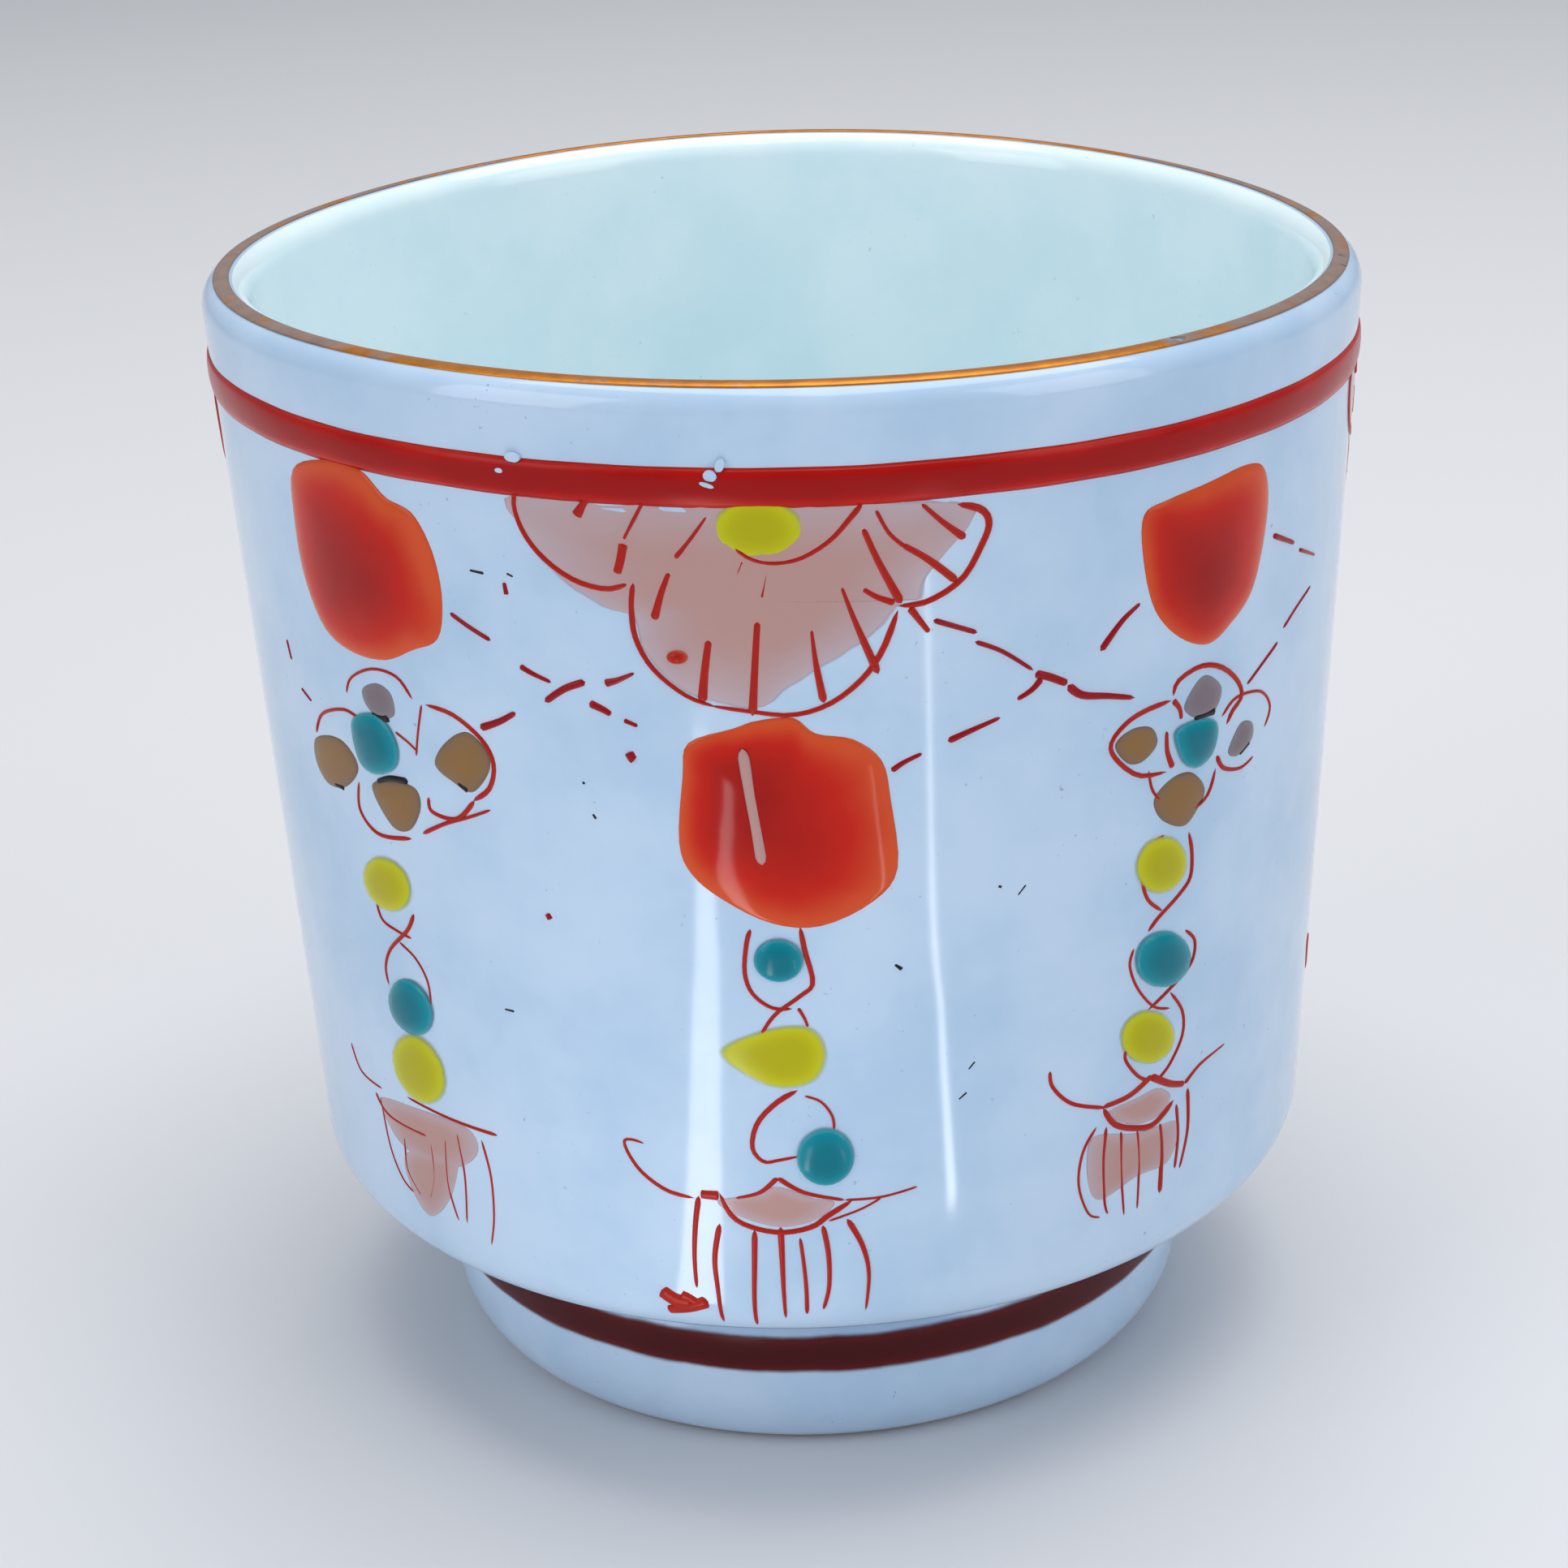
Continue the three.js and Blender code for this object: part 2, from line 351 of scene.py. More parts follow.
GLAZE = glazed("blue_white_glaze", tint(193, 216, 240), tint(175, 204, 232), tint(110, 124, 148), 0.55)
# The inside takes a copy of the glaze painted whiter. This is painted light that stands in for the light
# falling into the cup.
GLAZE_INSIDE_PAINTED_LIGHTER = glazed("inside_glaze_painted_lighter", tint(234, 249, 253), tint(222, 243, 249), tint(170, 180, 190), 0.4)
CLAY = glazed("bare_clay", tint(196, 186, 172), tint(170, 158, 142), tint(90, 80, 70), 0.9, 0.65, 0.2 * MM)
RED_JEWEL = enamel("red_jewel", tint(212, 82, 40), tint(196, 26, 6), tint(140, 0, 0), 0.5, 170.0, 0.1)
RED_LINE = enamel("red_line", tint(200, 96, 72), tint(188, 46, 22), tint(170, 22, 8), 0.8, 500.0, 0.3)
RED_DASH = enamel("crimson_dash", tint(190, 40, 48), tint(172, 14, 26), tint(146, 4, 14), 0.7, 500.0, 0.25)
RED_BAND = enamel("red_band", tint(200, 40, 14), tint(184, 12, 2), tint(158, 2, 0), 0.9, 240.0, 0.25)
DARK_BAND = enamel(
    "dark_red_band", tint(150, 60, 66), tint(96, 10, 10), tint(72, 2, 6), 0.5, 260.0, 0.3, 0.55)
PINK = enamel(
    "pink_wash", tint(194, 176, 184), tint(192, 166, 170), tint(190, 150, 144), 0.5, 240.0, 0.15, 0.12,
    0.92)
YELLOW = enamel(
    "yellow_enamel", tint(206, 214, 120), tint(194, 194, 14), tint(178, 172, 4), 0.25, 420.0, 0.25, 0.4)
TURQUOISE = enamel(
    "turquoise_enamel", tint(70, 168, 184), tint(6, 136, 152), tint(0, 112, 130), 0.25, 420.0, 0.2, 0.25)
BROWN = enamel("brown_wash", tint(124, 100, 82), tint(134, 104, 72), tint(140, 104, 62), 0.6, 460.0, 0.3)
GREY = enamel("grey_wash", tint(136, 128, 134), tint(130, 120, 126), tint(122, 110, 118), 0.6, 460.0, 0.3)
SOOT = enamel("black_speck", tint(70, 60, 66), tint(40, 32, 36), tint(26, 20, 24), 0.6, 460.0, 0.3)
print("materials", len(bpy.data.materials))

# %% [markdown]
# Gold that is brushed on a lip and fired is thin. Hands and washing wear it off in patches, down to a brown
# stain. A mask of noise mixes bright metal with the stain. The mask also leaves the gold bright at the
# front and back and dulls it to the stain at the left and right sides, which is painted light and shade.

# %% Gilding
GILDING, tree, shader = new_material("worn_and_side_shaded_gilding", 0.35, 0.0)
patches = noise(tree, 330, 5, 0.65)
streaks = noise(tree, 900, 3, 0.6)
coords = tree.nodes.new("ShaderNodeTexCoord")
split = tree.nodes.new("ShaderNodeSeparateXYZ")
tree.links.new(coords.outputs["Object"], split.inputs["Vector"])
# Painted light and shade: the gold stays bright near the front and back and is dulled to brown at the left
# and right sides.
middle = ramp_value(tree, math_node(tree, "ABSOLUTE", split.outputs["X"], 0), 0.010, 0.024, 0.16, -0.1)
gold_kept_and_lit = ramp_value(tree, math_node(tree, "ADD", patches, middle), 0.42, 0.6)
gold = mix(tree, streaks, tint(232, 150, 40), tint(170, 92, 26))
stain_and_side_shade = mix(tree, streaks, tint(150, 128, 118), tint(118, 88, 70))
tree.links.new(mix(tree, gold_kept_and_lit, stain_and_side_shade, gold), shader.inputs["Base Color"])
tree.links.new(math_node(tree, "MULTIPLY", gold_kept_and_lit, 0.75), shader.inputs["Metallic"])
tree.links.new(ramp_value(tree, patches, 0.3, 0.38), shader.inputs["Alpha"])
bump(tree, shader, streaks, 0.03 * MM)

# %% [markdown]
# The body is turned, so half an outline is enough. It is drawn from the axis under the floor, out round
# the shoulder, up the wall, over the lip and down the inside to the axis again, and spun once round.
# The spin closes on itself, and the two ends on the axis become the poles.

# %% Turned pieces
STEPS = 192


def finish_piece(bm, name, materials, smooth=True, stands_for=()):
    for vertex in bm.verts:
        vertex.co = settle(vertex.co)
    mesh = bpy.data.meshes.new(name)
    bm.to_mesh(mesh)
    bm.free()
    for material in materials:
        mesh.materials.append(material)
    if smooth:
        mesh.polygons.foreach_set("use_smooth", [True] * len(mesh.polygons))
    piece = bpy.data.objects.new(name, mesh)
    bpy.context.scene.collection.objects.link(piece)
    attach(piece, "root")
    if stands_for:
        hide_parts(*stands_for)
    return piece


def turned(profile, closed=False):
    bm = bmesh.new()
    points = [bm.verts.new((radius, 0, z)) for radius, z in profile]
    edges = [bm.edges.new(pair) for pair in zip(points, points[1:])]
    if closed:
        edges.append(bm.edges.new((points[-1], points[0])))
    bmesh.ops.spin(
        bm, geom=points + edges, cent=(0, 0, 0), axis=(0, 0, 1), angle=TURN,
        steps=STEPS, use_merge=True, use_duplicate=False,
    )
    bmesh.ops.remove_doubles(bm, verts=bm.verts[:], dist=1e-7)
    bmesh.ops.recalc_face_normals(bm, faces=bm.faces[:])
    return bm


def arc(count, start, end, point):
    return [point(start + (end - start) * i / count) for i in range(count + 1)]


lip_base = CUP_HEIGHT - LIP_RISE
lip_middle = wall_radius(lip_base) - WALL / 2


def lip_point(angle, lift=0.0):
    return (
        lip_middle + (WALL / 2 + lift) * math.cos(angle),
        lip_base + (LIP_RISE + lift) * math.sin(angle),
    )


def shares(count):
    """The inner shares of a run cut into equal steps, both ends left out."""
    return [i / count for i in range(1, count)]


SHOULDER_STEPS, WALL_STEPS, INSIDE_STEPS = 20, 24, 20
shoulder_heights = [
    FOOT_TOP + (SHOULDER_TOP - FOOT_TOP) * (1 - math.cos(math.pi / 2 * share))
    for share in shares(SHOULDER_STEPS) + [1]
]
shoulder = [(wall_radius(z), z) for z in shoulder_heights]
wall_heights = [SHOULDER_TOP + (lip_base - SHOULDER_TOP) * share for share in shares(WALL_STEPS)]
wall = [(wall_radius(z), z) for z in wall_heights]
crown = arc(18, 0, math.pi, lip_point)
inner_foot = wall_radius(FLOOR_TOP + INNER_CORNER) - WALL
corner = arc(14, 0, math.pi / 2, lambda a: (
    inner_foot - INNER_CORNER * (1 - math.cos(a)),
    FLOOR_TOP + INNER_CORNER * (1 - math.sin(a)),
))
inside_heights = [lip_base - (lip_base - corner[0][1]) * share for share in shares(INSIDE_STEPS)]
inside = [(wall_radius(z) - WALL, z) for z in inside_heights]
under = [(0, FOOT_TOP), (NECK_RADIUS * 0.5, FOOT_TOP), (NECK_RADIUS, FOOT_TOP)]
floor = [(corner[-1][0] * 0.5, FLOOR_TOP), (0, FLOOR_TOP)]
body = turned(under + shoulder + wall + crown + inside + corner + floor)
# Faces of the inner wall and floor take the inside glaze, whose extra whiteness is painted light.
for face in body.faces:
    middle_point = face.calc_center_median()
    radius = math.hypot(middle_point.x, middle_point.y)
    above_floor = middle_point.z > FLOOR_TOP - NEAR and face.normal.z > -0.5
    on_inner_wall = radius < wall_radius(middle_point.z) - WALL * 0.7
    on_floor = middle_point.z < FLOOR_TOP + NEAR and radius < inner_foot
    face.material_index = int(above_floor and (on_inner_wall or on_floor))
cup = finish_piece(body, "cup_body_glazed", [GLAZE, GLAZE_INSIDE_PAINTED_LIGHTER], stands_for=("cup_body",))

foot_edge = arc(10, 0, math.pi / 2, lambda a: (
    FOOT_REST[1] + (FOOT_RADIUS - FOOT_REST[1]) * math.sin(a),
    FOOT_EDGE_RISE * (1 - math.cos(a)),
))
foot_inside = FOOT_REST[0] - 0.4 * MM
foot_profile = [(FOOT_REST[0], 0)] + foot_edge + [(FOOT_RADIUS, FOOT_TOP), (foot_inside, FOOT_TOP)]
foot = turned(foot_profile, closed=True)
for face in foot.faces:
    face.material_index = int(face.calc_center_median().z < 0.25 * MM)
finish_piece(foot, "foot_ring_glazed", [GLAZE, CLAY], stands_for=("foot_ring",))
print("body and foot, faces", len(cup.data.polygons))

# %% [markdown]
# A band is laid with a loaded brush while the cup turns on a wheel. Its edges wander a little, and the
# enamel stands up from the glaze. Each band is a spun strip whose outer vertices are then moved in and
# out by a slow wave.


# %% Bands and gilding
def band(name, low, high, thickness, material, node, slot, wander):
    rows = 8
    rims = [low + (high - low) * i / rows for i in range(rows + 1)]
    outer = [(wall_radius(z) + thickness * math.sin(math.pi * i / rows) ** 0.5 + 0.01 * MM, z)
             for i, z in enumerate(rims)]
    inner = [(wall_radius(z) - 0.05 * MM, z) for z in reversed(rims[1:-1])]
    bm = turned(outer + inner, closed=True)
    pool = bm.verts.layers.float.new("pool")
    counts = (2, 3, 5, 9, 14, 23, 37)
    waves = [(random.uniform(0, TURN), n, random.uniform(0.4, 1) / n ** 0.5) for n in counts]
    for vertex in bm.verts:
        share = (vertex.co.z - low) / (high - low)
        angle = math.atan2(vertex.co.y, vertex.co.x)
        side = 1 if share > 0.5 else 2
        shift = sum(size * math.sin(n * angle + phase * side) for phase, n, size in waves)
        vertex[pool] = 1 - (2 * share - 1) ** 2
        vertex.co.z += wander * shift * abs(2 * share - 1)
    return finish_piece(bm, name, [material], stands_for=(node,))


band("upper_band_enamel", *BAND, 0.16 * MM, RED_BAND, "upper_band", "red_enamel", 0.05 * MM)
band("lower_band_enamel", *LOWER_BAND, 0.1 * MM, DARK_BAND, "lower_band", "dark_red_enamel", 0.06 * MM)

GILT_FROM, GILT_TO = math.radians(64), math.radians(102)
outer = arc(8, GILT_FROM, GILT_TO, lambda a: lip_point(a, 0.05 * MM))
inner = arc(8, GILT_TO, GILT_FROM, lambda a: lip_point(a, -0.04 * MM))
finish_piece(turned(outer + inner, closed=True), "lip_gilding_worn_and_side_shaded", [GILDING],
             stands_for=("lip_gilding",))

# %% [markdown]
# All the raised enamel is either a drop or a brush stroke. Both begin as a sphere. A drop is the sphere
# pressed flat on the wall, its equator stretched to the drop's outline. A stroke is the sphere drawn
# out along its path from pole to pole, which rounds its ends. Points are pixels of the photograph, laid
# back on the wall along the sight line, and a turn about the axis places the copies round the cup.

# %% Drops and strokes
SINK = 0.03 * MM
JEWEL_THICKNESS = 0.34 * MM
HEART_THICKNESS = 0.35 * MM
BEAD_THICKNESS = 0.4 * MM
PETAL_THICKNESS = 0.12 * MM
WASH_THICKNESS = 0.05 * MM
BRUSH = 0.85


def seat(angle, z, lift, turn):
    radius = wall_radius(z) + lift
    angle += turn
    return Vector((radius * math.sin(angle), -radius * math.cos(angle), z))


def spline(points, count, closed):
    """Points evenly spread along a smooth curve through the given ones."""
    total = len(points)
    spans = total if closed else total - 1
    result = []
    for i in range(count):
        place = spans * i / (count if closed else count - 1)
        k = min(int(place), spans - 1)
        t = place - k

        def pick(j):
            return points[j % total] if closed else points[max(0, min(total - 1, j))]
        a, b, c, d = (pick(k + n) for n in (-1, 0, 1, 2))
        result.append(0.5 * (2 * b + (c - a) * t + (2 * a - 5 * b + 4 * c - d) * t ** 2
                             + (3 * b - a - 3 * c + d) * t ** 3))
    return result


def drop(bm, pixels, turn, thickness, rings=12, sides=40, swell=1.3, base=0.0, drift=0.0):
    pool = bm.verts.layers.float["pool"]
    outline = spline([on_wall(p) for p in pixels], sides, True)
    middle = sum(outline, Vector((0, 0))) / sides
    sphere = bmesh.ops.create_uvsphere(bm, u_segments=sides, v_segments=rings, radius=1)["verts"]
    for vertex in sphere:
        x, y, z = vertex.co
        share = min(1, math.hypot(x, y))
        edge = outline[round(math.atan2(y, x) / TURN * sides) % sides]
        spot = middle + (edge - middle) * share
        lift = base + thickness * z ** swell if z > 0 else -SINK
        vertex.co = seat(spot.x, spot.y, lift, turn)
        vertex[pool] = (1 - share ** 2.4) * (1 - drift + drift * (0.5 * x - 0.8 * y))


def oval(bm, centre, half, turn, thickness, tilt=0.0, sides=24, base=0.0):
    pixels = []
    for i in range(10):
        a = TURN * i / 10
        x, y = half[0] * math.cos(a), half[1] * math.sin(a)
        pixels.append((centre[0] + x * math.cos(tilt) - y * math.sin(tilt),
                       centre[1] + x * math.sin(tilt) + y * math.cos(tilt)))
    drop(bm, pixels, turn, thickness, 10, sides, base=base)


def stroke(bm, pixels, turn, start, end=None, lift=0.07 * MM, steps=20, base=0.0):
    """A brush stroke that is start wide, growing to end, in millimetres."""
    pool = bm.verts.layers.float["pool"]
    end = start if end is None else end
    path = spline([on_wall(p) for p in pixels], steps + 1, False)
    sphere = bmesh.ops.create_uvsphere(bm, u_segments=8, v_segments=steps, radius=1)["verts"]
    for vertex in sphere:
        x, y, z = vertex.co
        share = math.acos(max(-1, min(1, z))) / math.pi
        k = min(int(share * steps), steps - 1)
        spot = path[k].lerp(path[k + 1], share * steps - k)
        along = path[k + 1] - path[k]
        radius = wall_radius(spot.y)
        along = Vector((along.x * radius, along.y)).normalized()
        round_end = min(1, math.sin(math.pi * share) * 3.2) ** 0.5
        width = BRUSH * (start + (end - start) * share) * MM * round_end / 2
        around = math.atan2(y, x)
        across = width * math.cos(around)
        height = base + lift * max(-0.35, math.sin(around)) * round_end * (0.6 + 0.8 * width / (0.2 * MM))
        vertex.co = seat(spot.x - along.y * across / radius, spot.y + along.x * across, height, turn)
        vertex[pool] = 0.25 + 0.75 * max(0, math.sin(around))


def painted(name, material, paint, stands_for=()):
    bm = bmesh.new()
    bm.verts.layers.float.new("pool")
    paint(bm)
    bmesh.ops.recalc_face_normals(bm, faces=bm.faces[:])
    return finish_piece(bm, name, [material], stands_for=stands_for)


# %% [markdown]
# The wide pendant starts with half a chrysanthemum under the band: a translucent pink wash, a yellow
# heart and fine red outlines with petal strokes. Below it hang a large red jewel, three beads on a
# looping thread and a tassel.

# %% The wide pendant's drawing
ROSETTE_WASH = [
    (632, 612), (640, 660), (672, 708), (735, 752), (776, 765), (790, 812), (835, 856), (925, 877),
    (975, 850),
    (1040, 812), (1085, 780), (1112, 742), (1135, 738), (1140, 712), (1165, 680), (1196, 640), (1176, 618),
    (930, 610),
]
ROSETTE_LINES = [
    ([(631, 603), (629, 630), (642, 664), (668, 695), (705, 720), (745, 730), (775, 722)], 0.26, 0.36),
    ([(778, 718), (775, 750), (780, 790), (802, 828), (842, 860), (880, 874)], 0.36, 0.2),
    ([(870, 872), (920, 879), (975, 883), (1022, 868), (1062, 836), (1086, 800), (1104, 752)], 0.2, 0.36),
    ([(1103, 748), (1140, 742), (1182, 714), (1206, 672), (1215, 645), (1205, 628), (1175, 622)], 0.3, 0.4),
    ([(895, 672), (920, 691), (950, 697), (985, 690), (1020, 668), (1045, 640), (1060, 622)], 0.24, 0.34),
    ([(1060, 727), (1078, 737), (1100, 744)], 0.3, 0.4),
    ([(1118, 750), (1142, 780)], 0.4, 0.24),
]
PETAL_STROKES = [
    ([(730, 608), (716, 625), (706, 642)], 0.14, 0.6), ([(793, 616), (775, 650), (765, 670)], 0.2, 0.2),
    ([(765, 674), (762, 692), (757, 712)], 0.55, 0.5), ([(868, 640), (848, 668), (828, 693)], 0.12, 0.34),
    ([(822, 708), (812, 735), (803, 768)], 0.3, 0.5), ([(871, 790), (866, 830), (863, 868)], 0.42, 0.5),
    ([(912, 695), (905, 713)], 0.2, 0.12), ([(942, 710), (936, 740)], 0.14, 0.28),
    ([(931, 765), (928, 820), (925, 885)], 0.42, 0.44), ([(997, 775), (1003, 820), (1013, 868)], 0.2, 0.42),
    ([(1033, 722), (1052, 770), (1080, 832)], 0.22, 0.44),
    ([(1060, 652), (1080, 695), (1108, 745)], 0.34, 0.5),
    ([(1076, 630), (1092, 658), (1112, 675)], 0.2, 0.3),
    ([(1108, 672), (1140, 690), (1176, 717)], 0.36, 0.42),
    ([(1132, 622), (1158, 644), (1186, 664)], 0.2, 0.44),
]
JEWEL_WIDE = [
    (930, 890), (975, 886), (1003, 905), (1050, 912), (1085, 938), (1096, 985), (1105, 1070), (1075, 1112),
    (1010, 1143), (950, 1140), (890, 1112), (850, 1080), (834, 1040), (838, 960), (845, 918), (900, 900),
]
YELLOW_BEAD = [
    (880, 1296), (925, 1272), (975, 1262), (1008, 1270), (1020, 1302), (1005, 1334), (965, 1345),
    (925, 1332),
]
# A pale streak on the left of the red jewel, drawn in the pink wash, is a painted highlight.
JEWEL_PAINTED_HIGHLIGHT = [(913, 922), (921, 970), (930, 1018), (938, 1065)]
THREADS_WIDE = [
    ([(923, 1146), (918, 1165), (916, 1200), (926, 1226), (950, 1243), (975, 1244)], 0.26, 0.2),
    ([(984, 1143), (990, 1172), (1000, 1212), (985, 1228), (955, 1250), (940, 1270), (934, 1282)], 0.3,
     0.18),
    ([(982, 1243), (990, 1256), (994, 1266)], 0.2, 0.14),
    ([(982, 1344), (955, 1360), (932, 1385), (926, 1415), (940, 1432), (960, 1430), (985, 1425)], 0.34,
     0.16),
    ([(990, 1351), (1010, 1358), (1024, 1375), (1027, 1392)], 0.14, 0.16),
]
TASSEL_WIDE = [
    ([(793, 1410), (778, 1405), (768, 1407), (775, 1425), (792, 1447), (822, 1468), (855, 1477)], 0.14,
     0.26),
    ([(905, 1477), (935, 1470), (957, 1452)], 0.14, 0.32),
    ([(957, 1452), (990, 1470), (1040, 1479)], 0.32, 0.18),
    ([(1040, 1479), (1085, 1475), (1130, 1462)], 0.16, 0.12),
    ([(885, 1470), (902, 1500), (930, 1514), (965, 1519), (1000, 1512), (1020, 1498), (1050, 1479)], 0.3,
     0.34),
    ([(1020, 1505), (1060, 1490), (1085, 1476)], 0.14, 0.12),
    ([(860, 1474), (856, 1510), (855, 1550), (858, 1588)], 0.34, 0.2),
    ([(886, 1508), (880, 1550), (884, 1590), (892, 1630)], 0.34, 0.2),
    ([(929, 1516), (929, 1560), (929, 1600), (933, 1634)], 0.34, 0.2),
    ([(961, 1512), (963, 1550), (965, 1590), (968, 1625)], 0.38, 0.16),
    ([(985, 1525), (990, 1560), (993, 1590), (994, 1620)], 0.2, 0.24),
    ([(1013, 1510), (1020, 1545), (1021, 1585), (1014, 1614)], 0.32, 0.2),
    ([(1043, 1502), (1062, 1535), (1070, 1570), (1066, 1615)], 0.36, 0.14),
    ([(862, 1472), (885, 1474)], 0.5, 0.6),
]
TASSEL_FILL = [
    (880, 1480), (930, 1472), (957, 1462), (1000, 1476), (1030, 1482), (1005, 1504), (960, 1513),
    (910, 1500),
]
SMEAR = [
    ([(814, 1590), (832, 1602), (852, 1606)], 0.8, 0.9),
    ([(822, 1614), (846, 1612), (872, 1604)], 0.6, 0.8),
    ([(838, 1596), (852, 1602), (866, 1612)], 0.7, 0.4),
]


def wide_pendant(number, turn):
    tag = f"wide_pendant_{number}"

    def rosette(bm):
        drop(bm, ROSETTE_WASH, turn, 0.06 * MM, 24, 72)
        drop(bm, TASSEL_FILL, turn, WASH_THICKNESS, 12, 36)
        # The pale streak on the jewel's left side is a painted highlight.
        stroke(bm, JEWEL_PAINTED_HIGHLIGHT, turn, 0.55, 0.6, base=0.27 * MM)
    painted(f"{tag}_pink_wash", PINK, rosette, (f"{tag}_rosette",))

    def jewel(bm):
        drop(bm, JEWEL_WIDE, turn, JEWEL_THICKNESS, 22, 64, drift=0.3)
    painted(f"{tag}_jewel_drop", RED_JEWEL, jewel, (f"{tag}_jewel",))

    def lines(bm):
        for path, start, end in ROSETTE_LINES + PETAL_STROKES + THREADS_WIDE + TASSEL_WIDE:
            stroke(bm, path, turn, start, end)
        oval(bm, (832, 813), (14, 9), turn, 0.25 * MM)
        if number == 1:
            for path, start, end in SMEAR:
                stroke(bm, path, turn, start, end)
    painted(f"{tag}_red_lines", RED_LINE, lines, (f"{tag}_tassel",))

    def yellow(bm):
        oval(bm, (932, 656), (62, 40), turn, 0.09 * MM)
        drop(bm, YELLOW_BEAD, turn, 0.16 * MM)
    painted(f"{tag}_yellow_beads", YELLOW, yellow, (f"{tag}_middle_bead",))

    def turquoise(bm):
        oval(bm, (958, 1184), (32, 28), turn, BEAD_THICKNESS)
        oval(bm, (1016, 1425), (37, 37), turn, BEAD_THICKNESS)
    painted(f"{tag}_turquoise_beads", TURQUOISE, turquoise,
            (f"{tag}_upper_bead", f"{tag}_lower_bead"))


SIDE_SHIFT = math.radians(7)
for quarter in range(4):
    even_turn = quarter * TURN / 4
    wide_pendant(2 * quarter + 1, even_turn + SIDE_SHIFT * math.sin(even_turn))
print("wide pendants", 4)

# %% [markdown]
# The narrow pendant hangs its jewel straight from the band, then a small flower of brown and grey petals
# round a turquoise heart, three beads and a looser tassel. The photograph shows two of them, painted
# with different hands. The two at the back repeat the right one.

# %% The narrow pendants' drawing
LEFT = dict(
    jewel=[(357, 582), (395, 571), (438, 584), (470, 618), (503, 638), (528, 684), (541, 742), (536, 792),
           (505, 806),
           (470, 818), (428, 806), (396, 775), (372, 712), (360, 645)],
    heart=[(430, 890), (455, 880), (478, 898), (490, 930), (484, 952), (460, 958), (440, 940)],
    brown=[[(386, 912), (405, 908), (425, 920), (440, 950), (425, 972), (403, 968), (388, 940)],
           [(455, 970), (485, 965), (510, 975), (516, 1000), (503, 1026), (480, 1020)],
           [(532, 945), (545, 918), (572, 905), (598, 930), (600, 955), (580, 980), (556, 968)]],
    grey=[[(443, 852), (460, 845), (478, 858), (483, 885), (465, 888), (448, 872)]],
    soot=[([(455, 882), (468, 888), (476, 888)], 0.3, 0.5),
          ([(462, 966), (478, 962), (500, 966)], 0.3, 0.4),
          ([(412, 968), (422, 973)], 0.3, 0.3), ([(562, 968), (574, 977)], 0.3, 0.4)],
    lines=[([(424, 857), (430, 838), (455, 828), (485, 838), (505, 866)], 0.14, 0.2),
           ([(388, 905), (395, 882), (420, 877), (440, 888)], 0.2, 0.2),
           ([(520, 872), (555, 885), (590, 915), (605, 945), (600, 975), (580, 990)], 0.26, 0.3),
           ([(582, 990), (560, 1012), (530, 1003), (525, 985)], 0.3, 0.2),
           ([(440, 965), (442, 1000), (465, 1030), (505, 1036)], 0.16, 0.28),
           ([(518, 1030), (545, 1018), (575, 1010), (602, 1001)], 0.26, 0.16),
           ([(516, 872), (512, 905), (510, 935)], 0.14, 0.12),
           ([(484, 905), (500, 918), (512, 930)], 0.16, 0.12),
           ([(462, 1112), (470, 1135), (490, 1150), (505, 1158)], 0.18, 0.16),
           ([(508, 1128), (500, 1148), (480, 1170), (474, 1192), (478, 1215)], 0.3, 0.14),
           ([(490, 1162), (510, 1182), (525, 1210), (530, 1240)], 0.16, 0.12),
           ([(432, 1285), (445, 1320), (470, 1342)], 0.08, 0.12),
           ([(462, 1346), (480, 1375), (530, 1402)], 0.16, 0.22),
           ([(500, 1352), (560, 1382), (612, 1400)], 0.12, 0.24),
           ([(468, 1350), (480, 1410), (495, 1450), (510, 1470)], 0.08, 0.12),
           ([(498, 1400), (502, 1440), (520, 1475)], 0.12, 0.1),
           ([(530, 1405), (535, 1450), (530, 1478)], 0.12, 0.1),
           ([(548, 1400), (552, 1460), (565, 1505)], 0.14, 0.1),
           ([(562, 1395), (572, 1450), (575, 1508)], 0.14, 0.1),
           ([(592, 1405), (604, 1450), (608, 1500), (605, 1535)], 0.16, 0.1)],
    yellow=[((476, 1091), (25, 36), -0.55), ((516, 1318), (28, 46), -0.45)],
    turquoise=[((506, 1242), (23, 35), -0.45)],
    fill=[(466, 1352), (520, 1368), (575, 1390), (590, 1420), (565, 1440), (520, 1430), (485, 1400)],
    threads=[(500, 1420), (560, 1420), (556, 1475), (530, 1500), (505, 1462)],
)
